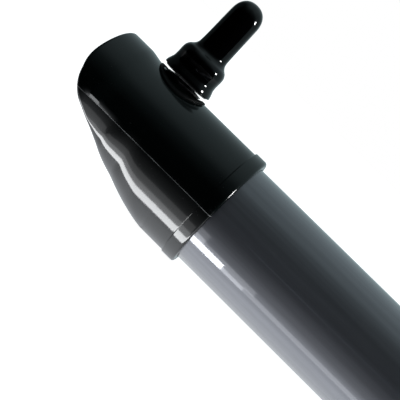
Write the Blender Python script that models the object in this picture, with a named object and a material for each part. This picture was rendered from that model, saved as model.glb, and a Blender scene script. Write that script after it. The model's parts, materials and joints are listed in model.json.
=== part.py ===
"""Ladder stabilizer: a U-shaped stand-off that clamps across a ladder's two rails.

A drilled crossbar is spliced to two bent arms, and each arm ends in a two-half moulded shoe with a
slanted sole, held by a clamp screw with a dipped grip.  Two square U-bolts with wing nuts grip the rails.

Metres, +Z up.  +X runs along the crossbar, +Y along the arms towards the shoes, and the clamp screws
point up.  The origin is under the middle of the bounding box, and the object lies on its collars.
"""
import math

import bmesh
import bpy
from mathutils import Matrix, Vector

MM = 0.001
GAP = 0.3 * MM                      # clearance between pieces that touch

# Driving dimensions
TUBE_R = 19.05 * MM                 # 38.1 mm tube
TUBE_WALL = 1.8 * MM
SPREAD = 1080 * MM                  # between the two arms' centre lines
REACH = 430 * MM                    # crossbar centre line to the shoes' noses
BEND_R = 95 * MM
COLLAR_R = 21.65 * MM
COLLAR_WIDTH = 4.8 * MM
SHOE_R = 21.05 * MM
SHOE_LENGTH = 61.3 * MM
NOSE_SWELL = 1 * MM                 # the shoe is this much larger in radius near its nose
SWELL_FROM = 45 * MM                # the swelling starts here
SWELL_OVER = 8 * MM                 # and takes this length
SOLE_FROM = 14 * MM                 # where the sole leaves the round underside
SOLE_SLOPE = 0.22                   # how steeply it starts to rise
SOLE_CURVE = 4.8                    # and how fast it steepens, per metre
TOE_LIFT = 1.8 * MM                 # extra rise towards the toe
TOE_FROM = 34 * MM
TOE_OVER = 13 * MM
NOSE_ARC_R = 9.2 * MM               # side-view rounding between the sole and the end face
PAD_AT = 27 * MM                    # middle of the rubber tread, from the shoe's mouth
HEEL_FILLET = 16.4 * MM             # rounding along the sole's edges, broad at the heel
NOSE_FILLET = 1.4 * MM              # and tight at the nose
FILLET_FROM = 31.5 * MM
FILLET_OVER = 18 * MM
SOLE_WALL = 5 * MM                  # from the sole at the tread to the bore
SCREW_AT = 37 * MM                  # clamp screw's distance from the shoe's mouth
RAIL_SPACING = 420 * MM             # between the two ladder rails' centres
RAIL_DEPTH = 88 * MM                # room for a ladder rail inside a U-bolt
LEG_SPACING = 44 * MM
ROD_R = 4 * MM                      # M8 rod
SPLICE_X = 360 * MM                 # where crossbar and arm meet
SLEEVE_LENGTH = 120 * MM
BOLT_R = 3 * MM                     # M6 splice bolt

# Saddles and pads of the rail clamps
SADDLE_WIDTH = 64 * MM
SADDLE_HEIGHT = 34 * MM
SADDLE_BACK = 28 * MM               # crossbar centre line to the rail saddle's flat face
SADDLE_FRONT = 25 * MM              # and to the nut saddle's flat face
SADDLE_LIP = 11 * MM                # how near the saddles come to the crossbar's centre plane
PAD_THICKNESS = 3 * MM

# Derived places
TUBE_IN = TUBE_R - TUBE_WALL
BORE_R = TUBE_R + GAP
SLEEVE_R = COLLAR_R
AXIS_Z = COLLAR_R
PAD_FACE = SADDLE_BACK + GAP + PAD_THICKNESS
BOW_Y = PAD_FACE + RAIL_DEPTH + ROD_R           # U-bolt bow's centre line behind the crossbar
BACK = BOW_Y + ROD_R
CROSS_Y = (BACK - REACH) / 2
MOUTH_Y = CROSS_Y + REACH - SHOE_LENGTH
ARM_X = SPREAD / 2
TUBE_END = 46.5 * MM                # the arm tube's square end, from the shoe's mouth
FACETS = 28                         # round tubes and bores
HOLE_FACETS = 12
SMALL_FACETS = 16

SIDES = (("left", -1), ("right", 1))


def clear_scene():
    for old in list(bpy.data.objects):
        bpy.data.objects.remove(old, do_unlink=True)


def material(name, colour, roughness, metallic=0.0):
    made = bpy.data.materials.new(name)
    made.use_nodes = True
    shader = made.node_tree.nodes["Principled BSDF"]
    shader.inputs["Base Color"].default_value = (*colour, 1.0)
    shader.inputs["Roughness"].default_value = roughness
    shader.inputs["Metallic"].default_value = metallic
    return made


def add_object(name, mesh_bm, finish, place=None, smooth_below=35):
    """Turn a bmesh into a named object with outward normals and smooth round sides."""
    bmesh.ops.recalc_face_normals(mesh_bm, faces=mesh_bm.faces)
    mesh = bpy.data.meshes.new(name)
    mesh_bm.to_mesh(mesh)
    mesh_bm.free()
    mesh.shade_smooth()
    mesh.set_sharp_from_angle(angle=math.radians(smooth_below))
    made = bpy.data.objects.new(name, mesh)
    bpy.context.scene.collection.objects.link(made)
    if finish:
        mesh.materials.append(finish)
    if place:
        made.matrix_world = place
    return made


def cut(target, cutter_bm, name, place=None, operation="DIFFERENCE"):
    """Boolean a hidden helper shape out of a piece, or into it."""
    helper = add_object(name, cutter_bm, None, place)
    helper.hide_render = True
    helper.display_type = "WIRE"
    change = target.modifiers.new(name, "BOOLEAN")
    change.operation = operation
    change.solver = "EXACT"
    change.object = helper


def skin(mesh_bm, rings, closed=False):
    """Quads between neighbouring rings of vertices."""
    pairs = list(zip(rings, rings[1:]))
    if closed:
        pairs.append((rings[-1], rings[0]))
    for low, high in pairs:
        count = max(len(low), len(high))
        for i in range(count):
            j = (i + 1) % count
            corners = []
            for vertex in (low[i % len(low)], low[j % len(low)], high[j % len(high)], high[i % len(high)]):
                if vertex not in corners:
                    corners.append(vertex)
            if len(corners) > 2:
                mesh_bm.faces.new(corners)


def ring_points(radius, height, facets):
    turns = [2 * math.pi * i / facets for i in range(facets)]
    return [Vector((radius * math.cos(a), radius * math.sin(a), height)) for a in turns]


def lathe(profile, facets=FACETS):
    """Solid of revolution about Z from a closed loop of (radius, height) points.

    A loop whose ends lie on the axis closes there, and any other loop closes on itself."""
    mesh_bm = bmesh.new()
    rings = []
    for radius, height in profile:
        if radius == 0:
            rings.append([mesh_bm.verts.new((0, 0, height))])
        else:
            rings.append([mesh_bm.verts.new(p) for p in ring_points(radius, height, facets)])
    on_axis = len(rings[0]) == 1 and len(rings[-1]) == 1
    skin(mesh_bm, rings, closed=not on_axis)
    return mesh_bm


def rod(radius, low, high, facets=FACETS):
    return lathe([(0, low), (radius, low), (radius, high), (0, high)], facets)


def washer(inner, outer, low, high, facets=FACETS):
    return lathe([(inner, low), (outer, low), (outer, high), (inner, high)], facets)


def sweep(path, radius, facets=FACETS, inner=None):
    """A round bar, or a tube when inner is given, along a path that lies in a level plane."""
    mesh_bm = bmesh.new()
    shells = []
    for wall in [radius] if inner is None else [radius, inner]:
        rings = []
        for i, point in enumerate(path):
            ahead = path[min(i + 1, len(path) - 1)] - path[max(i - 1, 0)]
            across = Vector((ahead.y, -ahead.x, 0)).normalized()
            rings.append([
                mesh_bm.verts.new(point + across * offset.x + Vector((0, 0, offset.y)))
                for offset in ring_points(wall, 0, facets)
            ])
        skin(mesh_bm, rings)
        shells.append(rings)
    for end in (0, -1):
        if inner is None:
            mesh_bm.faces.new(shells[0][end])
        else:
            skin(mesh_bm, [shells[0][end], shells[1][end]])
    return mesh_bm


def block(size, bevel=0.0, segments=2):
    """A box about the origin with every edge rounded."""
    mesh_bm = bmesh.new()
    bmesh.ops.create_cube(mesh_bm, size=1.0, matrix=Matrix.Diagonal((*size, 1)))
    if bevel:
        bmesh.ops.bevel(
            mesh_bm, geom=list(mesh_bm.edges), offset=bevel, segments=segments, profile=0.5,
            affect="EDGES",
        )
    return mesh_bm


def slice_off(mesh_bm, point, normal):
    """Remove what lies beyond a plane and close the cut face."""
    everything = list(mesh_bm.verts) + list(mesh_bm.edges) + list(mesh_bm.faces)
    result = bmesh.ops.bisect_plane(
        mesh_bm, geom=everything, plane_co=point, plane_no=normal, clear_outer=True, dist=1e-7,
    )
    edges = [item for item in result["geom_cut"] if isinstance(item, bmesh.types.BMEdge)]
    bmesh.ops.contextual_create(mesh_bm, geom=edges)
    return mesh_bm


ALONG_Y = Matrix.Rotation(math.radians(-90), 4, "X")        # turns a lathe's +Z axis into +Y
ALONG_X = Matrix.Rotation(math.radians(90), 4, "Y")


def at(x, y, z=AXIS_Z):
    return Matrix.Translation((x, y, z))


def bent_path(side):
    """Arm centre line: along the crossbar, round the bend, and forward into the shoe."""
    steps = 8
    centre = Vector((side * (ARM_X - BEND_R), CROSS_Y + BEND_R, AXIS_Z))
    points = [Vector((side * (SPLICE_X + GAP), CROSS_Y, AXIS_Z))]
    for i in range(steps + 1):
        turn = math.radians(90) * i / steps
        points.append(centre + BEND_R * Vector((side * math.sin(turn), -math.cos(turn), 0)))
    points.append(Vector((side * ARM_X, MOUTH_Y + TUBE_END, AXIS_Z)))
    return points


def sole_line(inset=0.0):
    """A point on the sole where the tread is and the outward normal there, in the shoe's own frame."""
    angle = sole_angle()
    normal = Vector((0, math.sin(angle), -math.cos(angle)))
    return Vector((0, PAD_AT, -sole_depth(PAD_AT))) - normal * inset, normal


def shoe_place(side):
    """The shoe's own frame: Y from the mouth to the nose, and Z up from the tube's axis."""
    return at(side * ARM_X, MOUTH_Y)


def make_tubes(finish, sleeve_finish):
    half = SPLICE_X - GAP
    path = [Vector((x, CROSS_Y, AXIS_Z)) for x in (-half, half)]
    crossbar = add_object("crossbar_tube", sweep(path, TUBE_R, inner=TUBE_IN), finish)
    hole = 0.5 * MM
    for name, side in SIDES:
        for leg in (-1, 1):
            x = side * RAIL_SPACING / 2 + leg * LEG_SPACING / 2
            cutter = rod(ROD_R + hole, -2 * TUBE_R, 2 * TUBE_R, HOLE_FACETS)
            cut(crossbar, cutter, f"cut_leg_{name}_{leg}", at(x, CROSS_Y) @ ALONG_Y)

        arm = add_object(f"arm_tube_{name}", sweep(bent_path(side), TUBE_R, inner=TUBE_IN), finish)
        wedge_point, wedge_normal = sole_line(SOLE_WALL + GAP)
        size = 80 * MM
        offset = Matrix.Translation(wedge_point) @ wedge_normal.to_track_quat("Z", "Y").to_matrix().to_4x4()
        wedge_place = shoe_place(side) @ offset @ Matrix.Translation((0, 0, size / 2))
        cut(arm, block((size, 2 * size, size)), f"cut_mitre_{name}", wedge_place)
        cutter = rod(6.2 * MM, 0, 2 * TUBE_R, SMALL_FACETS)
        cut(arm, cutter, f"cut_insert_{name}", shoe_place(side) @ Matrix.Translation((0, SCREW_AT, 0)))

        path = [
            Vector((side * (SPLICE_X + end * SLEEVE_LENGTH / 2), CROSS_Y, AXIS_Z)) for end in (-side, side)
        ]
        sleeve_bm = sweep(path, SLEEVE_R, inner=BORE_R)
        sleeve = add_object(f"splice_sleeve_{name}", sleeve_bm, sleeve_finish)
        for where, tube in ((-1, crossbar), (1, arm)):
            place = at(side * (SPLICE_X + where * SLEEVE_LENGTH / 4), CROSS_Y) @ ALONG_Y
            for target in (tube, sleeve):
                cutter = rod(BOLT_R + hole, -2 * TUBE_R, 2 * TUBE_R, HOLE_FACETS)
                cut(target, cutter, f"cut_splice_{target.name}_{where}_{name}", place)


def make_splice_bolts(finish):
    """Each sleeve has two cross bolts with domed heads behind and cap nuts in front."""
    seat = SLEEVE_R + GAP
    head_r, head_h = 6 * MM, 3.5 * MM
    nut_r, nut_h, dome_h = 5.7 * MM, 5 * MM, 4.5 * MM
    tip = seat + nut_h
    for name, side in SIDES:
        for i, where in enumerate((-1, 1), start=1):
            place = at(side * (SPLICE_X + where * SLEEVE_LENGTH / 4), CROSS_Y) @ ALONG_Y
            profile = [
                (0, -seat - head_h), (head_r * 0.55, -seat - head_h * 0.85),
                (head_r * 0.9, -seat - head_h * 0.45), (head_r, -seat), (BOLT_R, -seat),
                (BOLT_R, tip), (0, tip),
            ]
            add_object(f"splice_bolt_{name}_{i}", lathe(profile, HOLE_FACETS), finish, place)
            nut = lathe([
                (0, tip + GAP), (BOLT_R + GAP, tip + GAP), (BOLT_R + GAP, seat), (nut_r, seat),
                (nut_r, tip), (nut_r * 0.8, tip + dome_h * 0.35), (nut_r * 0.45, tip + dome_h * 0.85),
                (0, tip + dome_h),
            ], HOLE_FACETS)
            add_object(f"splice_nut_{name}_{i}", nut, finish, place)


def saddle(name, x, face, height, finish):
    """A moulded block with a flat outer face and a hollow that fits round the crossbar."""
    toward = 1 if face > 0 else -1
    depth = abs(face) - SADDLE_LIP
    body_bm = block((SADDLE_WIDTH, depth, height), 2 * MM)
    made = add_object(name, body_bm, finish, at(x, CROSS_Y + toward * (SADDLE_LIP + depth / 2)))
    cut(made, rod(BORE_R, -SADDLE_WIDTH, SADDLE_WIDTH, FACETS), f"cut_hollow_{name}", at(x, CROSS_Y) @ ALONG_X)
    for leg in (-1, 1):
        place = at(x + leg * LEG_SPACING / 2, CROSS_Y) @ ALONG_Y
        cut(made, rod(ROD_R + 0.5 * MM, -60 * MM, 60 * MM, HOLE_FACETS), f"cut_rod_{name}_{leg}", place)


def wing_nut(name, place, finish):
    """A nut with two upswept wings, its base at the origin and its axis along Z."""
    base_r, top_r, height = 7.5 * MM, 6 * MM, 9 * MM
    bore = ROD_R + GAP
    hub = lathe([(bore, 0), (base_r, 0), (base_r, 3 * MM), (top_r, height), (bore, height)], SMALL_FACETS)
    made = add_object(name, hub, finish, place)
    wing_x, wing_top, thick = 19 * MM, 17 * MM, 3 * MM
    for turn in (0, 180):
        outline = [
            (5.2, 1.5), (9, 2.5), (14, 6), (17.5, 10), (19, 13.5), (18.4, 16), (16.4, 17), (14, 16),
            (11.5, 12), (9, 8.6), (5.2, 7.6),
        ]
        wing = bmesh.new()
        scale = wing_x / 19
        lift = wing_top / 17
        front = [wing.verts.new((x * scale, -thick / 2, z * lift)) for x, z in outline]
        back = [wing.verts.new((x * scale, thick / 2, z * lift)) for x, z in outline]
        wing.faces.new(front)
        wing.faces.new(back)
        skin(wing, [front, back])
        spin = place @ Matrix.Rotation(math.radians(turn), 4, "Z")
        cut(made, wing, f"wing_{name}_{turn}", spin, operation="UNION")


def u_bolt_path(x):
    """Square U centre line that lies in the crossbar's level plane."""
    half = LEG_SPACING / 2
    bend = 11 * MM
    steps = 4
    front = CROSS_Y + SADDLE_FRONT + 33 * MM
    bow = CROSS_Y - BOW_Y
    points = [Vector((x - half, front, AXIS_Z))]
    for corner, start in ((-1, 180), (1, 270)):
        centre = Vector((x + corner * (half - bend), bow + bend, AXIS_Z))
        for i in range(steps + 1):
            turn = math.radians(start + 90 * i / steps)
            points.append(centre + bend * Vector((math.cos(turn), math.sin(turn), 0)))
    points.append(Vector((x + half, front, AXIS_Z)))
    return points


def make_rail_clamps(steel, plastic, rubber):
    for name, side in SIDES:
        x = side * RAIL_SPACING / 2
        saddle(f"rail_saddle_{name}", x, -SADDLE_BACK, SADDLE_HEIGHT, plastic)
        saddle(f"nut_saddle_{name}", x, SADDLE_FRONT, SADDLE_HEIGHT, plastic)
        pad_width = LEG_SPACING - 2 * ROD_R - 2 * MM
        pad_y = CROSS_Y - PAD_FACE + PAD_THICKNESS / 2
        pad_bm = block((pad_width, PAD_THICKNESS, SADDLE_HEIGHT - 4 * MM), 0.8 * MM, 1)
        add_object(f"rail_pad_{name}", pad_bm, rubber, at(x, pad_y))

        u_bolt = add_object(f"u_bolt_{name}", sweep(u_bolt_path(x), ROD_R, HOLE_FACETS), steel)
        u_bolt.name = f"u_bolt_{name}"
        seat = CROSS_Y + SADDLE_FRONT + GAP
        thickness = 1.6 * MM
        for i, leg in enumerate((-1, 1), start=1):
            place = at(x + leg * LEG_SPACING / 2, seat) @ ALONG_Y
            ring = washer(ROD_R + 0.4 * MM, 8.5 * MM, 0, thickness, SMALL_FACETS)
            add_object(f"clamp_washer_{name}_{i}", ring, steel, place)
            wing_nut(f"wing_nut_{name}_{i}", place @ Matrix.Translation((0, 0, thickness + GAP)), steel)


def smooth_step(share):
    share = min(max(share, 0), 1)
    return share * share * (3 - 2 * share)


def sole_depth(y):
    """How far the sole lies below the tube's axis at a distance y from the mouth."""
    along = max(y - SOLE_FROM, 0)
    rise = SOLE_SLOPE * along + SOLE_CURVE * along ** 2 + TOE_LIFT * smooth_step((y - TOE_FROM) / TOE_OVER)
    past = max(y - (SHOE_LENGTH - NOSE_ARC_R), 0)
    return SHOE_R - rise - NOSE_ARC_R + math.sqrt(NOSE_ARC_R ** 2 - past ** 2)


def sole_angle():
    """The sole's slope at the tread."""
    return math.atan(SOLE_SLOPE + 2 * SOLE_CURVE * (PAD_AT - SOLE_FROM))


def shoe_section(y, radius, steps=3, crown=16):
    """Round outline with a filleted flat below: a circle of this radius cut off at the sole's depth."""
    depth = min(sole_depth(y), radius)
    fillet = HEEL_FILLET + (NOSE_FILLET - HEEL_FILLET) * smooth_step((y - FILLET_FROM) / FILLET_OVER)
    centre_z = fillet - depth
    centre_x = math.sqrt(max((radius - fillet) ** 2 - centre_z ** 2, 0))
    tangent = math.atan2(centre_z, centre_x)
    points = []
    for i in range(crown + 1):
        turn = tangent + (math.pi - 2 * tangent) * i / crown
        points.append(Vector((radius * math.cos(turn), y, radius * math.sin(turn))))
    for corner in (-1, 1):
        for i in range(1 if corner < 0 else 0, steps + (1 if corner < 0 else 0)):
            share = i / steps
            low = -math.pi / 2
            turn = tangent + (low - tangent) * share if corner < 0 else low + (tangent - low) * share
            offset = Vector((corner * (centre_x + fillet * math.cos(turn)), y, centre_z + fillet * math.sin(turn)))
            points.append(offset)
    return points


def shoe_body():
    """The whole outer form of the shoe, from the collar's lip to the nose."""
    edge = 0.8 * MM
    stations = [
        (0, COLLAR_R - edge), (0.3 * edge, COLLAR_R - 0.3 * edge), (edge, COLLAR_R),
        (COLLAR_WIDTH, COLLAR_R), (COLLAR_WIDTH + 0.05 * MM, SHOE_R), (SOLE_FROM, SHOE_R),
    ]
    arc_centre = SHOE_LENGTH - NOSE_ARC_R
    places = [21 * MM, 28 * MM, 34 * MM, 39 * MM, SWELL_FROM]
    arc_steps = 5
    for i in range(arc_steps):
        places.append(arc_centre + NOSE_ARC_R * math.sin(math.pi / 2 * i / arc_steps))
    for y in places:
        stations.append((y, SHOE_R + NOSE_SWELL * smooth_step((y - SWELL_FROM) / SWELL_OVER)))
    full = SHOE_R + NOSE_SWELL
    stations += [(SHOE_LENGTH - 0.3 * edge, full - 0.1 * edge), (SHOE_LENGTH, full - 0.7 * edge)]
    mesh_bm = bmesh.new()
    rings = [[mesh_bm.verts.new(p) for p in shoe_section(y, radius)] for y, radius in stations]
    skin(mesh_bm, rings)
    mesh_bm.faces.new(rings[0])
    mesh_bm.faces.new(rings[-1])
    bmesh.ops.remove_doubles(mesh_bm, verts=mesh_bm.verts, dist=1e-6)
    return mesh_bm


def shoe_bore():
    """The space that the mitred tube end fills, with clearance."""
    mesh_bm = rod(BORE_R, -10 * MM, TUBE_END + GAP)
    mesh_bm.transform(ALONG_Y)
    point, normal = sole_line(SOLE_WALL)
    return slice_off(mesh_bm, point, normal)


def make_shell(name, side, direction, finish):
    """Upper (direction 1) or lower (direction -1) half of a shoe, split level with the tube's axis."""
    mesh_bm = shoe_body()
    slice_off(mesh_bm, Vector((0, 0, direction * GAP / 2)), Vector((0, 0, -direction)))
    made = add_object(name, mesh_bm, finish, shoe_place(side))
    cut(made, shoe_bore(), f"cut_bore_{name}", shoe_place(side))
    return made


SHELL_SCREW_Y = 50.5 * MM
SHELL_SCREW_R = 1.5 * MM
SHELL_SCREW_TOP = 10 * MM


def make_shoes(plastic, rubber, steel, dark_steel, dip):
    for name, side in SIDES:
        place = shoe_place(side)
        upper = make_shell(f"shoe_upper_shell_{name}", side, 1, plastic)
        lower = make_shell(f"shoe_lower_shell_{name}", side, -1, plastic)
        screw = place @ Matrix.Translation((0, SCREW_AT, 0))
        cut(upper, rod(5.85 * MM, 0, 30 * MM, SMALL_FACETS), f"cut_neck_{name}", screw)

        # The rubber tread sits in a shallow recess on the sole.
        pad_size = (8 * MM, 14 * MM, 1.35 * MM)
        tilt = Matrix.Translation(sole_line()[0]) @ Matrix.Rotation(sole_angle(), 4, "X")
        recess = (pad_size[0] + 2 * GAP, pad_size[1] + 2 * GAP, 3 * MM)
        cut(lower, block(recess), f"cut_recess_{name}", place @ tilt)
        pad_drop = Matrix.Translation((0, 0, 1.5 * MM - GAP - pad_size[2] / 2))
        add_object(f"sole_pad_{name}", block(pad_size, 0.4 * MM, 1), rubber, place @ tilt @ pad_drop)

        # One self-tapping screw holds the nose of the lower half to the upper half.
        nose = place @ Matrix.Translation((0, SHELL_SCREW_Y, 0))
        for target in (upper, lower):
            cutter = rod(SHELL_SCREW_R + GAP, -20 * MM, SHELL_SCREW_TOP + GAP, HOLE_FACETS)
            cut(target, cutter, f"cut_tap_{target.name}", nose)
        cut(lower, rod(3.2 * MM, -20 * MM, -1.7 * MM, SMALL_FACETS), f"cut_head_{name}", nose)
        profile = [
            (0, -3.6 * MM), (2.2 * MM, -3.6 * MM), (2.8 * MM, -3 * MM), (2.8 * MM, -2 * MM),
            (SHELL_SCREW_R, -2 * MM), (SHELL_SCREW_R, 8.5 * MM), (0, SHELL_SCREW_TOP),
        ]
        add_object(f"shell_screw_{name}", lathe(profile, HOLE_FACETS), steel, nose)

        make_screw_stack(name, screw, rubber, dark_steel, dip)


SEAT_Z = SHOE_R + GAP               # underside of what sits on the shell's crown
NUT_TOP = SEAT_Z + 0.85 * MM
RIM_Z = 22.9 * MM                   # lower edge of the grip
WASHER_LOW = 22.45 * MM
WASHER_HIGH = 22.95 * MM


def make_screw_stack(name, screw, rubber, dark_steel, dip):
    """Seat ring, insert nut, captive washer, screw and dipped grip on one axis."""
    inner, outer = 8.15 * MM, 9.5 * MM
    facets = 20
    ring = bmesh.new()
    rings = []
    for radius, lift in ((inner, 0), (outer, 0), (outer, 0.4 * MM), (inner, 0.4 * MM)):
        points = ring_points(radius, 0, facets)
        crown = SEAT_Z + lift
        rings.append([ring.verts.new((p.x, p.y, math.sqrt(crown ** 2 - p.x ** 2))) for p in points])
    skin(ring, rings, closed=True)
    add_object(f"seat_ring_{name}", ring, rubber, screw)

    bore = ROD_R + GAP
    neck_r, neck_low, hexagon = 5.5 * MM, 16.5 * MM, 7.8 * MM
    nut = bmesh.new()
    outline = [
        (bore, neck_low, 0), (neck_r, neck_low, 0), (neck_r, SEAT_Z, 0), (hexagon, SEAT_Z, 6),
        (hexagon, SEAT_Z + 0.35 * MM, 6), (5.2 * MM, NUT_TOP, 0), (bore, NUT_TOP, 0),
    ]
    rings = []
    for radius, height, corners in outline:
        points = ring_points(radius, height, HOLE_FACETS)
        if corners == 6:
            flat = math.radians(30)
            shrink = [math.cos(flat) / math.cos((2 * math.pi * i / HOLE_FACETS) % (2 * flat) - flat)
                      for i in range(HOLE_FACETS)]
            points = [Vector((p.x * s, p.y * s, p.z)) for p, s in zip(points, shrink)]
        rings.append([nut.verts.new(p) for p in points])
    skin(nut, rings, closed=True)
    add_object(f"insert_nut_{name}", nut, dark_steel, screw)

    ring = washer(ROD_R + GAP, 8.5 * MM, WASHER_LOW, WASHER_HIGH, SMALL_FACETS)
    add_object(f"captive_washer_{name}", ring, dark_steel, screw)

    flange_low = WASHER_HIGH + GAP
    flange_top = flange_low + 1.3 * MM
    core_r, core_top = 4.6 * MM, 53 * MM
    flange_r = 8.2 * MM
    profile = [
        (0, 12 * MM), (3.1 * MM, 12 * MM), (ROD_R - 0.05 * MM, 13 * MM), (ROD_R - 0.05 * MM, flange_low),
        (flange_r, flange_low), (flange_r, flange_top), (core_r, flange_top),
        (core_r, core_top - 2 * MM), (2.6 * MM, core_top), (0, core_top),
    ]
    add_object(f"clamp_screw_{name}", lathe(profile, SMALL_FACETS), dark_steel, screw)

    grip = lathe(grip_profile(flange_r, flange_top, core_r, core_top), SMALL_FACETS)
    add_object(f"screw_grip_{name}", grip, dip, screw)


def grip_profile(flange_r, flange_top, core_r, core_top):
    """Bell-shaped skirt over the screw's flange and a round-ended stem, hollow inside."""
    rim_r, bell_r, stem_r = 9.3 * MM, 8.7 * MM, 5.6 * MM
    bell_h, stem_start, total = 7 * MM, 12 * MM, 32.1 * MM
    outline = [(rim_r, 0), (rim_r - 0.25 * MM, 1.4 * MM), (bell_r, 3 * MM), (bell_r, bell_h)]
    outline += [(7.8 * MM, 9.1 * MM), (6.35 * MM, 10.2 * MM), (stem_r + 0.1 * MM, stem_start)]
    dome_r = 5.35 * MM
    dome_centre = total - dome_r
    for i in range(4):
        turn = math.radians(90) * i / 4
        outline.append((dome_r * math.cos(turn), dome_centre + dome_r * math.sin(turn)))
    outline = [(r, RIM_Z + h) for r, h in outline] + [(0, RIM_Z + total)]
    hollow = [
        (0, core_top + GAP), (2.6 * MM + GAP, core_top + GAP), (core_r + GAP, core_top - 2 * MM),
        (core_r + GAP, flange_top + GAP), (flange_r + GAP, flange_top + GAP), (8.85 * MM, RIM_Z),
    ]
    return hollow + outline


def build():
    clear_scene()
    tube_paint = material("tube_paint", (0.075, 0.078, 0.085), 0.3, 0.6)
    black_plastic = material("black_plastic", (0.012, 0.013, 0.013), 0.25)
    block_plastic = material("block_plastic", (0.02, 0.02, 0.021), 0.5)
    rubber = material("rubber", (0.02, 0.02, 0.02), 0.8)
    zinc = material("zinc_steel", (0.62, 0.63, 0.65), 0.3, 1.0)
    black_steel = material("black_steel", (0.02, 0.02, 0.022), 0.35, 0.6)
    dip = material("dipped_vinyl", (0.004, 0.004, 0.005), 0.08)
    make_tubes(tube_paint, tube_paint)
    make_splice_bolts(zinc)
    make_rail_clamps(zinc, block_plastic, rubber)
    make_shoes(black_plastic, rubber, zinc, black_steel, dip)


build()
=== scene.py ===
"""Looks of the ladder stabilizer: smooth tubes, moulded shoes, dipped clamp screws and zinc rail clamps."""
import json
import math

import bmesh
import bpy
from mathutils import Matrix, Vector, noise


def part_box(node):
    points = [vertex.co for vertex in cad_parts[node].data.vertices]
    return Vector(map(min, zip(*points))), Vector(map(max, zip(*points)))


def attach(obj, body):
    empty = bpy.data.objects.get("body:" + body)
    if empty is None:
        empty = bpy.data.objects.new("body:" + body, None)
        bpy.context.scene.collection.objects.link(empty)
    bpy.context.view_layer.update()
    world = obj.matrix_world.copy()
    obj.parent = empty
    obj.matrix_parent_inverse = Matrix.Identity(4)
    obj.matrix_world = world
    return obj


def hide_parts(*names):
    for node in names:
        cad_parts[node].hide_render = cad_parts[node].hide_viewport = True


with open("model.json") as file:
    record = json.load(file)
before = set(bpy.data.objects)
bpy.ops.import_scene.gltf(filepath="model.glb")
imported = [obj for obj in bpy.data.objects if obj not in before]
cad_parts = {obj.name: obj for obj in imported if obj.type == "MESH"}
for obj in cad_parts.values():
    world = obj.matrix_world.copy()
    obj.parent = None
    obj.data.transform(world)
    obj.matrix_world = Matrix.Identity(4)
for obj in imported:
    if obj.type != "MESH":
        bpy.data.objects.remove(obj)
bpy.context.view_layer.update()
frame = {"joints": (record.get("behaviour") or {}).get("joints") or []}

MM = 0.001
SIDES = ("left", "right")
JOINTS = {joint["name"]: joint for joint in frame["joints"]}

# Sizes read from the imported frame
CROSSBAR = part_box("crossbar_tube")
TUBE_R = (CROSSBAR[1].z - CROSSBAR[0].z) / 2
AXIS_Z = (CROSSBAR[1].z + CROSSBAR[0].z) / 2
CROSS_Y = (CROSSBAR[1].y + CROSSBAR[0].y) / 2
TUBE_WALL = 1.8 * MM
SHOE_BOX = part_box("shoe_upper_shell_right")
MOUTH_Y = SHOE_BOX[0].y
SHOE_LENGTH = SHOE_BOX[1].y - MOUTH_Y
ARM_X = JOINTS["screw_turn_right"]["pos_m"][0]
SCREW_AT = JOINTS["screw_turn_right"]["pos_m"][1] - MOUTH_Y
RIM_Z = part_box("screw_grip_right")[0].z - AXIS_Z
GRIP_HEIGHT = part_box("screw_grip_right")[1].z - AXIS_Z - RIM_Z
ROD_R = 4 * MM
ROD_HOLE_R = 4.4 * MM
PITCH = 1.25 * MM
SHARP_ANGLE = 35


# ---------------------------------------------------------------- materials

def new_material(name, colour, roughness, metallic=0.0):
    made = bpy.data.materials.new(name)
    made.use_nodes = True
    shader = made.node_tree.nodes["Principled BSDF"]
    shader.inputs["Base Color"].default_value = (*colour, 1.0)
    shader.inputs["Roughness"].default_value = roughness
    shader.inputs["Metallic"].default_value = metallic
    return made, Graph(made.node_tree, shader)


class Graph:
    """Short names for building a material's node tree."""

    def __init__(self, tree, shader):
        self.tree = tree
        self.shader = shader

    def node(self, kind, settings=None, **inputs):
        made = self.tree.nodes.new(kind)
        for name, value in (settings or {}).items():
            setattr(made, name, value)
        for name, value in inputs.items():
            self.feed(made.inputs[name.replace("_", " ")], value)
        return made

    def feed(self, socket, value):
        if isinstance(value, bpy.types.NodeSocket):
            self.tree.links.new(value, socket)
        else:
            socket.default_value = value

    def place(self, stretch=(1, 1, 1), source="Object"):
        """Coordinates that move with the piece, stretched to give a texture a direction."""
        where = self.node("ShaderNodeTexCoord").outputs[source]
        return self.node("ShaderNodeMapping", Vector=where, Scale=stretch).outputs[0]

    def noise(self, vector, scale, detail=3.0, rough=0.5):
        made = self.node("ShaderNodeTexNoise", Vector=vector, Scale=scale, Detail=detail, Roughness=rough)
        return made.outputs["Fac"]

    def between(self, value, low, high, to_low=0.0, to_high=1.0):
        made = self.node("ShaderNodeMapRange", Value=value)
        for index, number in ((1, low), (2, high), (3, to_low), (4, to_high)):
            made.inputs[index].default_value = number
        return made.outputs[0]

    def mix(self, share, first, second):
        made = self.tree.nodes.new("ShaderNodeMix")
        made.data_type = "RGBA"
        self.feed(made.inputs[0], share)
        for index, colour in ((6, first), (7, second)):
            self.feed(made.inputs[index], colour if not isinstance(colour, tuple) else (*colour, 1.0))
        return made.outputs[2]

    def math(self, operation, first, second=0.0):
        made = self.node("ShaderNodeMath", {"operation": operation})
        self.feed(made.inputs[0], first)
        self.feed(made.inputs[1], second)
        return made.outputs[0]

    def attribute(self, name):
        """A number that the mesh stores for each vertex."""
        return self.node("ShaderNodeAttribute", {"attribute_name": name}).outputs["Fac"]

    def bump(self, height, strength, distance, under=None):
        made = self.node("ShaderNodeBump", Height=height, Strength=strength, Distance=distance)
        if under:
            self.feed(made.inputs["Normal"], under)
        return made.outputs[0]

    def set(self, **sockets):
        for name, value in sockets.items():
            self.feed(self.shader.inputs[name.replace("_", " ")], value)


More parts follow.
